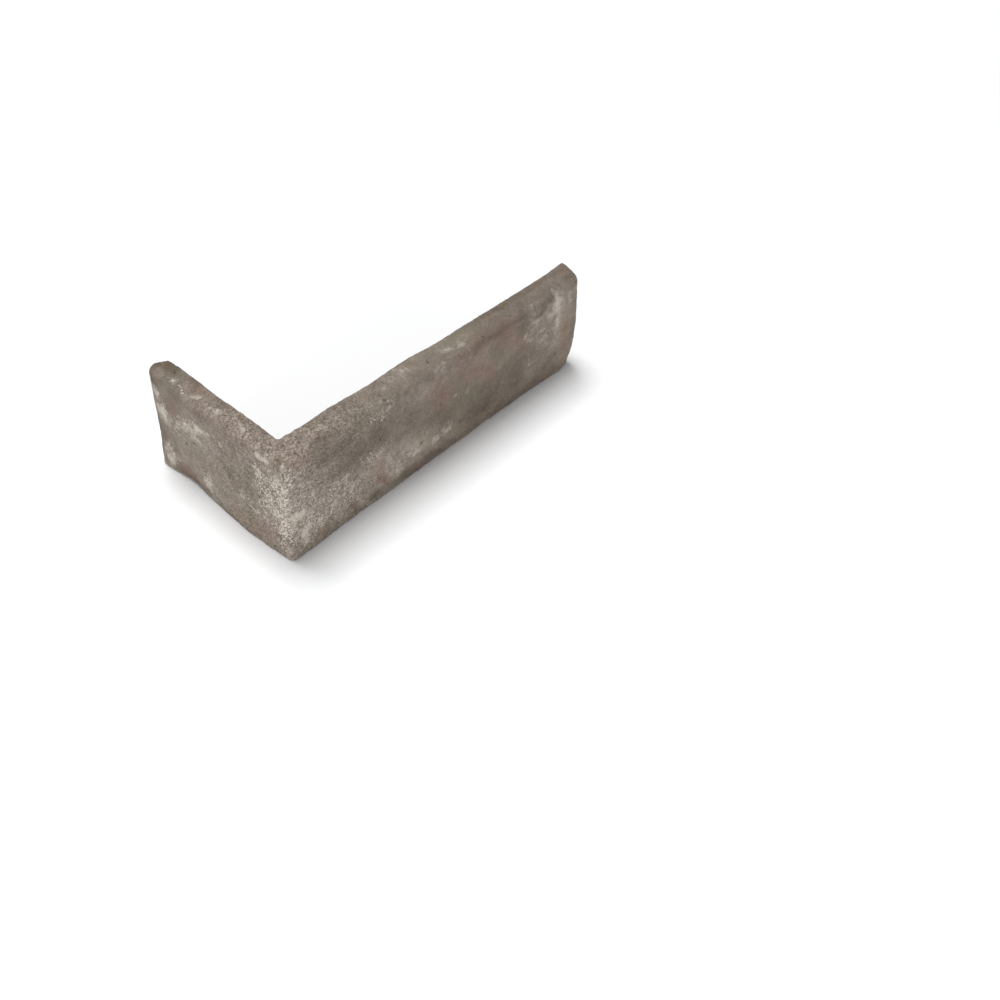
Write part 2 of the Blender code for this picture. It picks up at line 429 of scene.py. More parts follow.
MARKS["ochre"] = {
    "header": ((25, 8, 4, 3, 0.4), (-48, 10, 3, 3, 0.4), (44, 62, 4, 4, 0.25)),
    "stretcher": (
        (97, 31, 3.5, 10, 0.7), (30, 9, 4, 3, 0.5), (42, 10, 4, 2, 0.4), (66, 9, 5, 2, 0.4),
        (97, 9, 4, 3, 0.5), (82, 8, 4, 2, 0.4), (12, 10, 4, 3, 0.35), (-84, 8, 4, 3, 0.4),
    ),
    "bed": (
        (-100, 46, 4, 4, 0.3), (-98, 11, 2, 3, 0.4), (-97, -2, 2, 4, 0.4), (-97, -14, 2, 4, 0.4),
        (-45, -41, 4, 2, 0.2), (-10, -39, 4, 2, 0.15), (46, -41, 5, 2, 0.3), (60, -38, 4, 2, 0.3),
        (103, -41, 4, 4, 0.25), (85, -38, 5, 2, 0.25),
    ),
}
MARKS["olive"] = {
    "header": ((43, 4, 5, 5, 0.5), (-25, 15, 4, 6, 0.4), (32, 62, 8, 5, 0.3), (-20, 36, 14, 12, 0.25)),
    "stretcher": (
        (7, 52, 4, 6, 0.5), (60, 54, 4, 8, 0.5), (44, 44, 4, 7, 0.45), (-49, 6, 5, 3, 0.6),
        (-32, 8, 6, 4, 0.5), (60, 32, 14, 6, 0.4), (20, 30, 14, 8, 0.3), (-101, 23, 3, 3, 0.5),
    ),
    "bed": (
        (-76, -39, 6, 3, 0.6), (-40, -46, 20, 8, 0.1), (25, -39, 22, 3, 0.5), (-103, 16, 3, 4, 0.4),
        (70, -39, 12, 3, 0.4), (-102, 38, 8, 8, 0.3), (0, -42, 16, 8, 0.15),
    ),
}
for layer in ("red_clay", "ochre", "olive"):
    print(layer + ":", sum(map(len, MARKS[layer].values())), "marks")

# %% [markdown]
# ## Burnt spots and painted shade
#
# Flame and fuel leave small burnt spots. The long dark marks along the lower edges are painted shade under
# the rounded lower arris, and the dark in the deepest crease of the top bed is painted shade too. All are
# darker than any clay, so they are a layer of their own.

# %% Marks: burnt spots and painted shade
MARKS["burnt"] = {
    "header": (
        # (28, 3) on the next line and (-5, 1) below it are painted shade under the rounded lower edge
        (46, 24, 4, 9, 0.45), (48, 14, 3, 6, 0.35), (31, 29, 2, 2, 0.35), (28, 3, 12, 3, 0.5),
        (-5, 1, 40, 3, 0.4), (-39, 47, 1.5, 3, 0.5), (-36, 43, 1.2, 2, 0.5), (48, 62, 3, 5, 0.4),
        (-30, 36, 3, 2, 0.3),
    ),
    "stretcher": (
        # (-20, 4) on the next line, and (50, 4) and (-80, 1) further down, are painted shade under the
        # rounded lower edge
        (-94, 43, 5, 5, 0.2), (-37, 54, 3, 2, 0.35), (-49, 6, 5, 2.5, 0.7), (-20, 4, 20, 3, 0.5),
        (-45, 16, 3, 3, 0.55), (-41, 12, 2, 4, 0.5), (-82, 65, 6, 2.5, 0.9),
        (-47, 47, 3, 3, 0.25), (32, 14, 4, 3, 0.5), (75, 57, 3, 3, 0.4), (83, 14, 3, 3, 0.35),
        (103, 33, 2.5, 14, 0.5), (50, 4, 55, 2.5, 0.5), (60, 53, 2.5, 6, 0.3), (80, 50, 2, 2, 0.3),
        (-62, 45, 3, 3, 0.2), (25, 34, 2, 3, 0.3), (-80, 1, 30, 2, 0.3),
    ),
    "bed": (
        # (-82, -49.4) on the next line is painted shade in the deepest crease
        (-103, 34, 1, 1.2, 0.8), (-82, -49.4, 5, 2.5, 0.9), (-71, -49, 8, 2, 0.6), (-55, -49, 5, 2, 0.3),
        (33, -49, 6, 2, 0.35), (63, -49, 4, 3, 0.4), (90, -49, 4, 2, 0.35), (-104, -48, 2, 2, 0.4),
    ),
}
print("burnt:", sum(map(len, MARKS["burnt"].values())), "marks")

# %% [markdown]
# ## Broad tone and painted shade
#
# Broad differences come partly from the stack in the kiln, where neighbours shade each other. Other broad
# marks are painted shade: darker along the lower edges, and along the top bed's back edge at the far end.
# Their strength goes both ways: above 0 a place is paler, and below 0 it is deeper. The marks are wide and
# overlap, as clouds do.

# %% Marks: broad tone and painted shade
MARKS["shade"] = {
    "header": (
        # (28, 4) on the next line is painted shade under the rounded lower edge
        (32, 55, 8, 14, -0.35), (0, 62, 34, 5, -0.25), (28, 4, 14, 7, -0.5), (46, 24, 5, 12, -0.5),
        (15, 44, 16, 8, 0.25), (-40, 38, 10, 26, 0.3), (-14, 32, 10, 16, -0.1), (42, 40, 5, 14, 0.2),
        (-44, 10, 10, 12, 0.1), (0, 12, 14, 10, 0.15), (47, 60, 6, 7, -0.75), (25, 58, 5, 5, -0.2),
        (20, 31, 22, 6, 0.12), (-20, 22, 9, 6, 0.25), (-42, 42, 8, 6, -0.2),
        (-47, 18, 5, 10, -0.55), (-14, 53, 7, 7, -0.17), (35, 59, 5, 5, 0.15), (5, 13, 7, 5, 0.13),
        (45, 12, 4, 5, 0.25),
    ),
    "stretcher": (
        (-80, 55, 16, 6, -0.35), (-50, 46, 18, 8, -0.45), (-62, 49, 22, 10, -0.4), (-15, 40, 22, 11, -0.42),
        # (-20, 5) on the next line and (55, 4) two lines on are painted shade under the rounded lower edge
        (-98, 35, 12, 28, 0.7), (-82, 22, 18, 14, 0.5), (-38, 25, 28, 9, 0.45), (-20, 5, 26, 4, -0.5),
        (-12, 18, 12, 7, 0.3), (22, 24, 18, 12, -0.55), (45, 20, 20, 14, -0.65), (62, 28, 16, 12, -0.35),
        (82, 14, 14, 9, -0.45), (55, 4, 65, 6, -0.6), (75, 57, 4, 4, -0.4), (61, 55, 5, 8, -0.35),
        (86, 46, 14, 14, 0.45), (30, 62, 30, 5, -0.15), (50, 45, 26, 12, -0.2), (46, 57, 9, 5, -0.34),
        (70, 58, 6, 5, 0.22), (-80, 49, 7, 6, 0.25), (-57, 49, 9, 6, 0.32), (-30, 49, 7, 6, -0.27),
        (11, 48, 8, 7, -0.42), (40, 50, 7, 5, -0.38), (80, 41, 8, 7, -0.45), (91, 50, 5, 5, 0.35),
        (-58, 35, 9, 8, -0.35), (16, 39, 9, 6, -0.32), (-80, 31, 6, 6, 0.18), (0, 30, 10, 7, -0.5),
        (-12, 30, 7, 6, -0.2), (15, 30, 8, 5, -0.18), (0, 22, 8, 6, -0.3), (30, 22, 6, 5, 0.15),
        (50, 23, 6, 5, 0.13), (80, 20, 6, 6, 0.17), (-60, 13, 7, 6, 0.55), (-40, 13, 8, 5, 0.46),
        (-30, 13, 7, 5, 0.37), (24, 13, 10, 6, -0.45), (38, 13, 7, 5, -0.3), (60, 13, 6, 5, -0.35),
        (-101, 58, 6, 6, 0.2), (-60, 60, 7, 4, -0.2), (-90, 13, 6, 5, 0.2), (61, 49, 6, 6, -0.2),
        (-30, 31, 6, 6, -0.2), (30, 31, 5, 5, -0.17), (-90, 31, 5, 6, 0.13), (-79, 22, 6, 5, -0.2),
    ),
    "bed": (
        (-98, -44, 14, 12, 0.4), (-103, -4, 5, 30, 0.1), (-102, 40, 8, 12, -0.4), (60, -46, 60, 8, -0.5),
        # (66, -38) on the next line is painted shade along the back edge of the top bed
        (-30, -44, 44, 8, -0.3), (104, -42, 6, 10, -0.3), (-98, 30, 3, 30, -0.3), (66, -38, 44, 3, -0.75),
        (-74, -43, 10, 4, 0.45), (-50, -45, 7, 4, 0.3), (-20, -42, 8, 4, 0.42), (22, -43, 7, 3, 0.4),
        (85, -46, 10, 4, -0.2), (101, -48, 5, 4, -0.5), (-99, 46, 4, 6, -0.8), (-104, 30, 3, 8, -0.33),
        (-100, 13, 4, 6, 0.4), (-101, -20, 4, 16, 0.27), (-104, 0, 3, 8, 0.33), (-96.5, 25, 2, 5, -0.45),
        (-96.5, 2, 2, 6, -0.1), (-104, -46, 3, 4, -0.6), (-105, 45, 3, 5, 0.5), (65, -48, 8, 3, -0.2),
    ),
}
print("shade:", sum(map(len, MARKS["shade"].values())), "marks")

# %% [markdown]
# ## How a mark spreads
#
# A mark with a smooth rim looks painted. So a place is moved by noise before it is looked up, which frays the
# rims, and its strength fades out from the middle. Most layers keep the strongest mark at a place. Shade adds
# its marks up, because it goes both ways.

# %% Strength of each layer at a place
NOISE_SEED = 11
FRAY_WIDE_MM = 9.0
FRAY_WIDE_BY_MM = 2.4
FRAY_FINE_MM = 3.0
FRAY_FINE_BY_MM = 1.1
RIM = 2.0
RIM_SOFTNESS = 1.5
noise.seed_set(NOISE_SEED)


def frayed(place):
    """The place in millimetres, moved by about 1 mm and by less than 3 mm."""
    wide = noise.noise_vector(place / (FRAY_WIDE_MM * MM)) * FRAY_WIDE_BY_MM
    fine = noise.noise_vector(place / (FRAY_FINE_MM * MM)) * FRAY_FINE_BY_MM
    return place / MM + wide + fine


def strengths_at(spot, face, marks):
    """The strengths that the marks of one face give a spot. They fade out at RIM, in reaches squared."""
    first, second, across, level = MARKED_FACES[face]
    off_face = ((spot[across] - level) / THROUGH_MM) ** 2
    if off_face >= RIM:
        return
    for along, upward, reach_along, reach_up, strength in marks:
        away = ((spot[first] - along) / reach_along) ** 2 + ((spot[second] - upward) / reach_up) ** 2
        if away + off_face < RIM:
            yield strength * (1 - (away + off_face) / RIM) ** RIM_SOFTNESS


def layer_at(spot, layer):
    found = [value for face, marks in MARKS[layer].items() for value in strengths_at(spot, face, marks)]
    return sum(found) if layer == "shade" else max(found, default=0.0)


probe = frayed(Vector((-107, -47, 51)) * MM)
print("lime beside the arris:", round(layer_at(probe, "lime"), 2))

# %% [markdown]
# ## Folds and creases
#
# Soft clay folds over itself when it is thrown into a mould, and the folds stay as creases. Each is a short
# polyline on the face. The points near it sink, most of all in the middle of the crease.

# %% Creases as polylines, in millimetres
# how many widths a crease reaches to each side
CREASE_SPREAD = 1.5
CREASES = (
    # width, depth, points
    (2.6, 0.22, ((24, -51, 60), (38, -51, 62.5), (52, -51, 62), (66, -51, 60.5), (80, -51, 61.5))),
    (2.2, 0.6, ((-87, -50, 65), (-80, -50.5, 64.5), (-70, -50, 65))),
    (2.0, 0.22, ((-107.5, 42, 30), (-107.5, 37, 26), (-107.5, 35, 18))),
    (1.8, 0.25, ((-66, -51.5, 10), (-63, -51.5, 5), (-61, -51.5, 1))),
    (1.6, 0.35, ((-107.5, 24, 4), (-107.5, 12, 5), (-107.5, 2, 3.5))),
    (1.6, 0.30, ((-52, -51.5, 7), (-46, -51.5, 6), (-40, -51.5, 8))),
)


def distance_to_line(spot, points):
    nearest = 1e9
    for start, end in zip(points, points[1:]):
        a, b = Vector(start), Vector(end)
        along = max(0.0, min(1.0, (spot - a).dot(b - a) / (b - a).length_squared))
        nearest = min(nearest, (spot - a.lerp(b, along)).length)
    return nearest


def crease_at(spot):
    """How deep a place lies in a crease: as a share of the crease's depth, and in millimetres."""
    deepest = share = 0.0
    for width, depth, points in CREASES:
        away = distance_to_line(spot, points) / (width * CREASE_SPREAD)
        if away < 1 and (1 - away**2) ** 2 * depth > deepest:
            share = (1 - away**2) ** 2
            deepest = share * depth
    return share, deepest


print("creases:", len(CREASES))

# %% [markdown]
# ## Pits
#
# Small stones, straw and burnt-out coal dust leave pits. They are scattered, each with its own size, so most
# cells of a coarse cell pattern have none.

# %% Pits
PIT_SPACING = 6.5 * MM
PIT_SHARE = 0.33
PIT_BEND_WIDTH = 2.0 * MM
PIT_BEND_MM = 0.8
# as shares of the spacing: the smallest pit's reach, and how much further the largest one reaches
PIT_SMALLEST = 0.10
PIT_GROWTH = 0.14
# how much of a pit's reach is its floor
PIT_FLOOR = 0.35
# sets the cells far apart, so that neighbours don't share their luck
LUCK_SPREAD = 37.0


def pit_at(place):
    """1 in the middle of a pit, and 0 away from it. Noise bends the place first, so no pit is round."""
    bent = place + noise.noise_vector(place / PIT_BEND_WIDTH) * PIT_BEND_MM * MM
    distances, centres = noise.voronoi(bent / PIT_SPACING)
    luck = (noise.cell(centres[0] * LUCK_SPREAD) + 1) / 2
    if luck > PIT_SHARE:
        return 0.0
    size = PIT_SMALLEST + PIT_GROWTH * luck / PIT_SHARE
    return ease(distances[0], size, size * PIT_FLOOR)


print("pits, share of cells:", PIT_SHARE)

# %% [markdown]
# ## Layers on the skin
#
# What the material has to know about a place is stored on the skin's own points, one layer for each thing:
# the marks, where the saw ran, how deep a pit or crease is, and how thick the sand lies. An image could hold
# that too, but points need no unwrapping, and the layers move with the mesh. Sand lies thickest round the
# outside corner, most of all on the top bed, and it thins out towards both free ends.

# %% Store the layers
SAND_THICK = 26 * MM
SAND_THIN = 95 * MM
SAND_ON_THE_SIDES = 0.75
LOOKS_UP = 0.7
# the sawn body begins a little before the back, along a ragged line
SAWN_FROM = -0.55 * MM
SAWN_WHOLLY = -0.20 * MM
RAGS = ((3.0 * MM, 0.35), (9.0 * MM, 0.25))

layers = {name: skin.verts.layers.float.new(name) for name in (*MARKS, "sawn", "pit", "crease", "sand")}
for vert in skin.verts:
    place = vert.co
    spot = frayed(place)
    ragged = sum(noise.noise(place / width) * height * MM for width, height in RAGS)
    sawn = ease(behind_the_skin(place) + ragged, SAWN_FROM, SAWN_WHOLLY)
    vert[layers["sawn"]] = sawn
    thick = 1.0 if vert.normal.z > LOOKS_UP else SAND_ON_THE_SIDES
    vert[layers["sand"]] = ease((place.xy - CORNER).length, SAND_THIN, SAND_THICK) * thick
    if sawn < 1:
        vert[layers["pit"]] = pit_at(place) * (1 - sawn)
        vert[layers["crease"]] = crease_at(spot)[0] * (1 - sawn)
        for name in MARKS:
            vert[layers[name]] = layer_at(spot, name) * (1 - sawn)
for name, layer in layers.items():
    print(name, "mean:", round(sum(vert[layer] for vert in skin.verts) / len(skin.verts), 3))

# %% [markdown]
# ## Relief of the sanded skin
#
# The skin is the sum of what happened to it: lumps from the mould, sand grain, pits, creases, and torn clay
# along the bed edges. The sand stands a little proud of the clay. Each of these could be a bump map. Real
# points cost more, and they pay, because the outline and the mesh itself have the relief too.

# %% How far the sanded skin moves
SAND_STANDS_PROUD = 0.25 * MM
LUMP_HEIGHT = 0.16 * MM
LUMP_WIDTH = 7.0 * MM
GRAIN_HEIGHT = 0.14 * MM
GRAIN_WIDTH = 2.2 * MM
PIT_DEPTH = 0.55 * MM
TORN_HEIGHT = 0.28 * MM
TORN_WIDTH = 4.0 * MM
TORN_REACH = 3.0 * MM
# a step to one side, so that the torn clay follows other noise than the lumps
TORN_ASIDE = Vector((5, 0, 0))


def bed_gap(place):
    """How far a place is from the nearer bed."""
    return min(BED_TOP - place.z, place.z)


def grain_at(place):
    return noise.noise(place / GRAIN_WIDTH) * GRAIN_HEIGHT


def sanded_move(vert):
    """How far a point of the sanded skin moves outwards."""
    place = vert.co
    move = SAND_STANDS_PROUD + noise.noise(place / LUMP_WIDTH) * LUMP_HEIGHT + grain_at(place)
    torn = noise.noise(place / TORN_WIDTH + TORN_ASIDE) * TORN_HEIGHT
    move += torn * ease(bed_gap(place), TORN_REACH, 0.0)
    move -= vert[layers["pit"]] * PIT_DEPTH
    if vert[layers["crease"]] > 0:
        move -= crease_at(frayed(place))[1] * MM
    return move


print("sand stands proud by, mm:", round(SAND_STANDS_PROUD / MM, 2))

# %% [markdown]
# ## Relief of the sawn backs
#
# The blade leaves a flat back with faint level ridges, which wander a little, and less grain than the skin.
# Where it comes out at a bed edge it breaks off small chips.

# %% How far the sawn backs move
SAW_PITCH = 2.6 * MM
SAW_HEIGHT = 0.05 * MM
SAW_WANDERS = 1.5
SAW_WANDER_WIDTH = 30 * MM
SAWN_GRAIN = 0.35
CHIP_DEPTH = 0.35 * MM
CHIP_REACH = 1.6 * MM
CHIP_WIDTH = 5.0 * MM
CHIP_FROM = 0.05
CHIP_WHOLLY = 0.45
# another step to one side, for the chips
CHIP_ASIDE = Vector((0, 9, 0))


def sawn_move(place):
    """How far a place on the sawn backs moves outwards."""
    wander = SAW_WANDERS * noise.noise(place / SAW_WANDER_WIDTH)
    ridge = sin(place.z / SAW_PITCH * 2 * pi + wander) * SAW_HEIGHT
    return ridge + grain_at(place) * SAWN_GRAIN


def chip_at(place):
    """How deep a chip is at a place: only near a back and a bed, and there only here and there."""
    near = ease(behind_the_skin(place), -CHIP_REACH, 0.0) * ease(bed_gap(place), CHIP_REACH, 0.0)
    here_and_there = ease(noise.noise(place / CHIP_WIDTH + CHIP_ASIDE), CHIP_FROM, CHIP_WHOLLY)
    return near * (here_and_there * CHIP_DEPTH)


print("saw ridges, mm apart:", round(SAW_PITCH / MM, 2))

# %% [markdown]
# ## Move the skin
#
# Each point moves along its own normal. All moves are worked out first, from the skin as it was, and only
# then made. The struck bed stays on the floor: it keeps its hollows and gets no bumps.

# %% Move every point
STRUCK_BED = 0.6 * MM
LOOKS_DOWN = -0.5
STRUCK_RELIEF = 0.5


def skin_move(vert):
    sawn = vert[layers["sawn"]]
    move = sanded_move(vert) * (1 - sawn) + sawn_move(vert.co) * sawn - chip_at(vert.co)
    if vert.co.z < STRUCK_BED and vert.normal.z < LOOKS_DOWN:
        return min(move, 0.0) * STRUCK_RELIEF
    return move


moves = [skin_move(vert) for vert in skin.verts]
for vert, move in zip(skin.verts, moves):
    vert.co += vert.normal * move
    vert.co.z = max(vert.co.z, 0.0)
skin.normal_update()
print("deepest move, mm:", round(min(moves) / MM, 2), "highest:", round(max(moves) / MM, 2))

# %% [markdown]
# ## One finished piece
#
# The slip is one fired piece, so the skin becomes one mesh. It rides on the only body of the frame, and it
# stands for the plain solid, which is hidden.

# %% The slip as one finished piece
fine = bpy.data.meshes.new("fired_slip")
skin.to_mesh(fine)
skin.free()
fine.shade_smooth()
slip = bpy.data.objects.new("fired_slip", fine)
bpy.context.scene.collection.objects.link(slip)
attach(slip, "root")
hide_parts("corner_slip")
print("fired_slip:", len(fine.polygons), "faces")

# %% [markdown]
# ## Sanded fired clay: the patterns
#
# The real finish is soft-mud clay, thrown into a sanded mould and fired: taupe sand burnt on to a redder
# body, dull all over, with no polish. To the eye that is grain first, then clouds and mottle. All patterns
# lie on Object coordinates, and each scale is one over a real width. The sand of such a mould is finer than
# half a millimetre, which is less than a pixel here, so it is drawn about twice as coarse as it is, to show.

# %% Material: clouds, mottle, blots and grain
PATTERNS = {
    # real width, then the noise's detail and roughness
    "clouds": (45 * MM, 2.0, 0.5),
    "mottle": (9 * MM, 6.0, 0.75),
    "blots": (3.2 * MM, 4.0, 0.68),
    "grain": (1.3 * MM, 2.0, 0.6),
}
SAND_GRAIN = 0.8 * MM

clay, tree = new_material("sanded_fired_clay")
here = add_node(tree, "ShaderNodeTexCoord")["Object"]
pattern = {}
for count, (name, (width, detail, roughness)) in enumerate(PATTERNS.items()):
    moved = add_node(tree, "ShaderNodeMapping", {"Vector": here, "Location": (0.3 * count, 0.1, 0)})[0]
    looks = {"Vector": moved, "Scale": 1 / width, "Detail": detail, "Roughness": roughness}
    pattern[name] = add_node(tree, "ShaderNodeTexNoise", looks)["Fac"]
sand = add_node(tree, "ShaderNodeTexVoronoi", {"Vector": here, "Scale": 1 / SAND_GRAIN})
grain_luck = add_node(tree, "ShaderNodeSeparateColor", {"Color": sand["Color"]})
stored = {name: add_node(tree, "ShaderNodeAttribute", attribute_name=name)["Fac"] for name in layers}
print("patterns:", ", ".join(pattern), "| sand grain, mm:", SAND_GRAIN / MM)

# %% [markdown]
# ## The clay's own tones
#
# Fired clay is never one colour. Deep and light taupe take turns in the mottle, and the stored shade pulls a
# place towards pale or brown. A colour Mix node has its share at input 0, its colours at 6 and 7 and its
# result at output 2. A Map Range node has its value at input 0, where it starts and ends at 1 and 2, and what
# that becomes at 3 and 4. Noise keeps near its middle, so a pattern's span says what counts as its two ends.

# %% Material: tones of the clay
CLAY_DEEP = "#766c63"
CLAY_LIGHT = "#988d83"
CLAY_OLIVE = "#857d6e"
CLAY_PALE = "#aba297"
CLAY_BROWN = "#54493f"
MOTTLE_SPAN = {1: 0.34, 2: 0.66}
BLOTS_SPAN = {1: 0.36, 2: 0.64}
SHADE_STIRRED = {3: 0.55, 4: 1.45}

stirring = add_node(tree, "ShaderNodeMapRange", {0: pattern["blots"], **BLOTS_SPAN, **SHADE_STIRRED})[0]
stirred = add_node(tree, "ShaderNodeMath", {0: stored["shade"], 1: stirring}, operation="MULTIPLY")[0]
TONES = (
    # what decides, where it starts and ends, how strong the tone gets, the tone
    (pattern["clouds"], 0.42, 0.66, 0.55, CLAY_OLIVE),
    (stirred, 0.0, 1.0, 0.85, CLAY_PALE),
    # below 0 the stored shade is partly the kiln's deeper tone and partly painted shade
    (stirred, 0.0, -1.0, 0.90, CLAY_BROWN),
    (pattern["blots"], 0.50, 0.70, 0.22, CLAY_PALE),
    (pattern["blots"], 0.50, 0.30, 0.20, CLAY_BROWN),
)

light = add_node(tree, "ShaderNodeMapRange", {0: pattern["mottle"], **MOTTLE_SPAN})[0]
tone = add_node(
    tree, "ShaderNodeMix", {0: light, 6: linear(CLAY_DEEP), 7: linear(CLAY_LIGHT)}, data_type="RGBA"
)[2]
for decider, start, end, strength, colour in TONES:
    share = add_node(tree, "ShaderNodeMapRange", {0: decider, 1: start, 2: end, 4: strength})[0]
    tone = add_node(tree, "ShaderNodeMix", {0: share, 6: tone, 7: linear(colour)}, data_type="RGBA")[2]
print("tones laid over the mottle:", len(TONES))

# %% [markdown]
# ## Warm and cool places
#
# Red, ochre and olive places show through the sand, so each is broken up by the blots: strong where the sand
# is thin, and weak where it is thick.

# %% Material: red, ochre and olive
RED_CLAY = "#86685f"
OCHRE = "#876c52"
OLIVE = "#76735f"
SHOWS_THROUGH = {3: 0.45, 4: 1.1}

broken = add_node(tree, "ShaderNodeMapRange", {0: pattern["blots"], **BLOTS_SPAN, **SHOWS_THROUGH})[0]
for name, colour in (("olive", OLIVE), ("ochre", OCHRE), ("red_clay", RED_CLAY)):
    share = add_node(tree, "ShaderNodeMath", {0: stored[name], 1: broken}, operation="MULTIPLY")[0]
    tone = add_node(tree, "ShaderNodeMix", {0: share, 6: tone, 7: linear(colour)}, data_type="RGBA")[2]
print("tints: olive, ochre, red")

# %% [markdown]
# ## Light and dark sand
#
# Each cell of the sand pattern is one grain with three lucky numbers. The first makes it a little darker or
# lighter than the clay. It does so more where the sand is thick, so the slip is speckled round its outside
# corner and calmer towards its free ends.

# %% Material: light and dark sand
SWING_THIN_TO_THICK = {3: 0.11, 4: 0.42}

swing = add_node(tree, "ShaderNodeMapRange", {0: stored["sand"], **SWING_THIN_TO_THICK})[0]
centred = add_node(tree, "ShaderNodeMapRange", {0: grain_luck["Red"], 3: -1.0, 4: 1.0})[0]
each_grain = add_node(tree, "ShaderNodeMath", {0: centred, 1: swing, 2: 1.0}, operation="MULTIPLY_ADD")[0]
tone = add_node(
    tree, "ShaderNodeMix", {0: 1.0, 6: tone, 7: each_grain}, data_type="RGBA", blend_type="MULTIPLY"
)[2]
print("each grain is lighter or darker by its first lucky number")

# %% [markdown]
# ## The lime film
#
# The film's rim is decided by the stored strength and the blots together, so it frays at the size of the
# blots. Inside the rim it covers most of the clay, and never all of it.

# %% Material: lime as a film
LIME_FILM = "#cbc4b8"
FILM_FRAY = 1.1
FILM_SPAN = {1: 0.74, 2: 1.20}
FILM_COVERS = 0.80

frayed_film = add_node(
    tree, "ShaderNodeMath", {0: pattern["blots"], 1: FILM_FRAY, 2: stored["bloom"]}, operation="MULTIPLY_ADD"
)[0]
film = add_node(tree, "ShaderNodeMapRange", {0: frayed_film, **FILM_SPAN, 4: FILM_COVERS})[0]
tone = add_node(tree, "ShaderNodeMix", {0: film, 6: tone, 7: linear(LIME_FILM)}, data_type="RGBA")[2]
print("lime film:", LIME_FILM)

# %% [markdown]
# ## Grains of lime
#
# A grain's third lucky number makes it a grain of lime, if the stored lime is strong enough for its luck. The
# clay's grain pattern crowds them together, so they lie in clusters with dark gaps.

# %% Material: grains of lime
LIME_GRAIN = "#d3cabf"
CLUSTER_SPAN = {1: 0.35, 2: 0.65}
GAP_TO_CLUSTER = {3: 0.25, 4: 1.35}
LIME_SPAN = {1: 0.0, 2: 0.15}
LIME_COVERS = 0.85

clusters = {0: pattern["grain"], **CLUSTER_SPAN, **GAP_TO_CLUSTER}
clustered = add_node(tree, "ShaderNodeMapRange", clusters)[0]
crowd = add_node(tree, "ShaderNodeMath", {0: stored["lime"], 1: clustered}, operation="MULTIPLY")[0]
spare = add_node(tree, "ShaderNodeMath", {0: crowd, 1: grain_luck["Blue"]}, operation="SUBTRACT")[0]
lime = add_node(tree, "ShaderNodeMapRange", {0: spare, **LIME_SPAN, 4: LIME_COVERS})[0]
tone = add_node(tree, "ShaderNodeMix", {0: lime, 6: tone, 7: linear(LIME_GRAIN)}, data_type="RGBA")[2]
print("lime grains:", LIME_GRAIN)

# %% [markdown]
# ## Pores, burnt spots and painted shade
#
# Everything dark comes last, on top of the rest: painted shade in the pits and creases that the relief
# made, the burnt spots and the painted shade along the lower edges, and the pores between the grains,
# which a grain's second lucky number decides.

# %% Material: dark places
PORE_AND_PAINTED_SHADE = "#423930"
PORES_THIN_TO_THICK = {3: 0.04, 4: 0.26}
PORES_AMONG_LIME = 0.12
PORE_SPAN = {1: 0.0, 2: 0.10}
PORE_DARKNESS = 0.38

thick_sand = add_node(tree, "ShaderNodeMapRange", {0: stored["sand"], **PORES_THIN_TO_THICK})[0]
among_lime = add_node(
    tree,
    "ShaderNodeMath",
    {0: stored["lime"], 1: PORES_AMONG_LIME, 2: thick_sand},
    operation="MULTIPLY_ADD",
)[0]
unlucky = add_node(tree, "ShaderNodeMath", {0: among_lime, 1: grain_luck["Green"]}, operation="SUBTRACT")[0]
dark = add_node(tree, "ShaderNodeMapRange", {0: unlucky, **PORE_SPAN, 4: PORE_DARKNESS})[0]
spotty = add_node(tree, "ShaderNodeMath", {0: stored["burnt"], 1: broken}, operation="MULTIPLY")[0]
# pits and creases darkened here are painted shade; the burnt layer holds burnt spots and painted shade
DARK_PARTS = ((stored["pit"], 0.75), (stored["crease"], 0.30), (spotty, 0.75))
for part, strength in DARK_PARTS:
    weighed = add_node(tree, "ShaderNodeMath", {0: part, 1: strength}, operation="MULTIPLY")[0]
    dark = add_node(tree, "ShaderNodeMath", {0: dark, 1: weighed}, operation="MAXIMUM")[0]
tone = add_node(tree, "ShaderNodeMix", {0: dark, 6: tone, 7: linear(PORE_AND_PAINTED_SHADE)}, data_type="RGBA")[2]
print("dark parts: pores and", len(DARK_PARTS), "more")

# %% [markdown]
# ## The sawn body
#
# Behind the skin the saw has opened the brick: dark red clay with no sand on it. The blade drew long streaks
# along the back and left a little pale dust in them. The streaks are one noise that a Mapping node stretches
# along the blade's path, which is simpler than drawing lines and never repeats.

# %% Material: clay and streaks of the sawn body
SAWN_DEEP = "#533632"
SAWN_CLAY = "#6d4b45"
SAWN_DUST = "#86685f"
STREAK_LENGTH = 45 * MM
STREAK_WIDTH = 1.8 * MM
SAWN_SPAN = {1: 0.35, 2: 0.65}
DUST_SPAN = {1: 0.48, 2: 0.70}
DUST_COVERS = 0.6

fired = add_node(tree, "ShaderNodeMapRange", {0: pattern["mottle"], **SAWN_SPAN})[0]
body = add_node(
    tree, "ShaderNodeMix", {0: fired, 6: linear(SAWN_DEEP), 7: linear(SAWN_CLAY)}, data_type="RGBA"
)[2]
stretch = (1 / STREAK_LENGTH, 1 / STREAK_LENGTH, 1 / STREAK_WIDTH)
along_the_blade = add_node(tree, "ShaderNodeMapping", {"Vector": here, "Scale": stretch})[0]
looks = {"Vector": along_the_blade, "Scale": 1.0, "Detail": 4.0, "Roughness": 0.6}
streaks = add_node(tree, "ShaderNodeTexNoise", looks)["Fac"]
dusty = add_node(tree, "ShaderNodeMapRange", {0: streaks, **DUST_SPAN, 4: DUST_COVERS})[0]
body = add_node(tree, "ShaderNodeMix", {0: dusty, 6: body, 7: linear(SAWN_DUST)}, data_type="RGBA")[2]
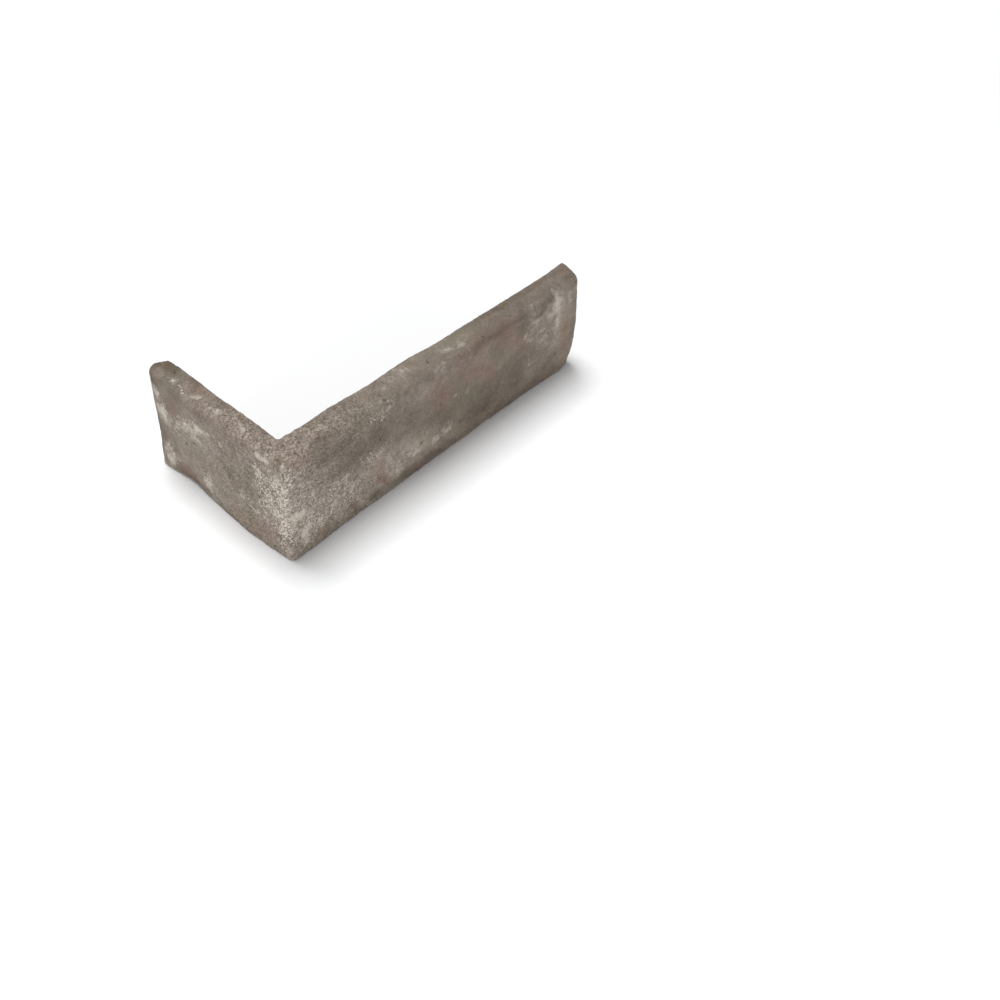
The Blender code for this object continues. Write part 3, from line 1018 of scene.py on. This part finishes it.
print("saw streaks, mm wide:", round(STREAK_WIDTH / MM, 2))

# %% [markdown]
# ## Stones and voids in the cut
#
# Brick clay is ground, never sieved fine, so the saw also cuts through small crushed stones and through holes
# where air or coal dust was. One coarse noise gives both: stones where it is high, and voids where it is low.
# The voids have no depth in the mesh, so their dark colour is painted shade. Neither is round, so a cell
# pattern wouldn't do here.

# %% Material: stones and voids of the sawn body
SAWN_STONE = "#a09083"
VOID_PAINTED_SHADE = "#33211f"
STONE_WIDTH = 2.8 * MM
CUT_THROUGH = (
    # where the noise starts and ends, how much it covers, its colour
    (0.66, 0.71, 0.7, SAWN_STONE),
    # the voids' dark colour is painted shade
    (0.34, 0.29, 0.8, VOID_PAINTED_SHADE),
)
GRAIN_SPAN = {1: 0.3, 2: 0.7}
ROUGH_CUT = {3: 0.80, 4: 1.18}

looks = {"Vector": here, "Scale": 1 / STONE_WIDTH, "Detail": 2.0, "Roughness": 0.55}
crushed = add_node(tree, "ShaderNodeTexNoise", looks)["Fac"]
for start, end, strength, colour in CUT_THROUGH:
    share = add_node(tree, "ShaderNodeMapRange", {0: crushed, 1: start, 2: end, 4: strength})[0]
    body = add_node(tree, "ShaderNodeMix", {0: share, 6: body, 7: linear(colour)}, data_type="RGBA")[2]
rough_cut = add_node(tree, "ShaderNodeMapRange", {0: pattern["grain"], **GRAIN_SPAN, **ROUGH_CUT})[0]
body = add_node(
    tree, "ShaderNodeMix", {0: 1.0, 6: body, 7: rough_cut}, data_type="RGBA", blend_type="MULTIPLY"
)[2]
tone = add_node(tree, "ShaderNodeMix", {0: stored["sawn"], 6: tone, 7: body}, data_type="RGBA")[2]
print("crushed stones, mm wide:", round(STONE_WIDTH / MM, 2))

# %% [markdown]
# ## Dull, and rough to the touch
#
# Fired clay has no polish: a roughness near 1 and half the usual gloss. The sand's own relief is finer than
# the points of the mesh, so it is bump: each grain is a small dome, with the clay's grain under it.

# %% Material: roughness, bump and shader
SAND_BUMP = 0.26 * MM
LEAST_TO_MOST_DULL = {3: 0.86, 4: 0.98}
GLOSS = 0.25
DOME_SPAN = {1: 0.7, 2: 0.0}
DOME_HEIGHT = 0.5

rough = add_node(tree, "ShaderNodeMapRange", {0: pattern["grain"], **GRAIN_SPAN, **LEAST_TO_MOST_DULL})[0]
dome = add_node(tree, "ShaderNodeMapRange", {0: sand["Distance"], **DOME_SPAN, 4: DOME_HEIGHT})[0]
height = add_node(tree, "ShaderNodeMath", {0: dome, 1: pattern["grain"]}, operation="ADD")[0]
bump = add_node(tree, "ShaderNodeBump", {"Height": height, "Strength": 1.0, "Distance": SAND_BUMP})[0]
shader = add_node(
    tree,
    "ShaderNodeBsdfPrincipled",
    {"Base Color": tone, "Roughness": rough, "Normal": bump, "Specular IOR Level": GLOSS},
)[0]
add_node(tree, "ShaderNodeOutputMaterial", {"Surface": shader})
fine.materials.append(clay)
print("nodes in the clay:", len(tree.nodes))

# %% [markdown]
# ## Close the lesson
#
# The picture is shown as it is lit, with the Standard view.

# %% Show the picture as it is lit
bpy.context.scene.view_settings.view_transform = "Standard"
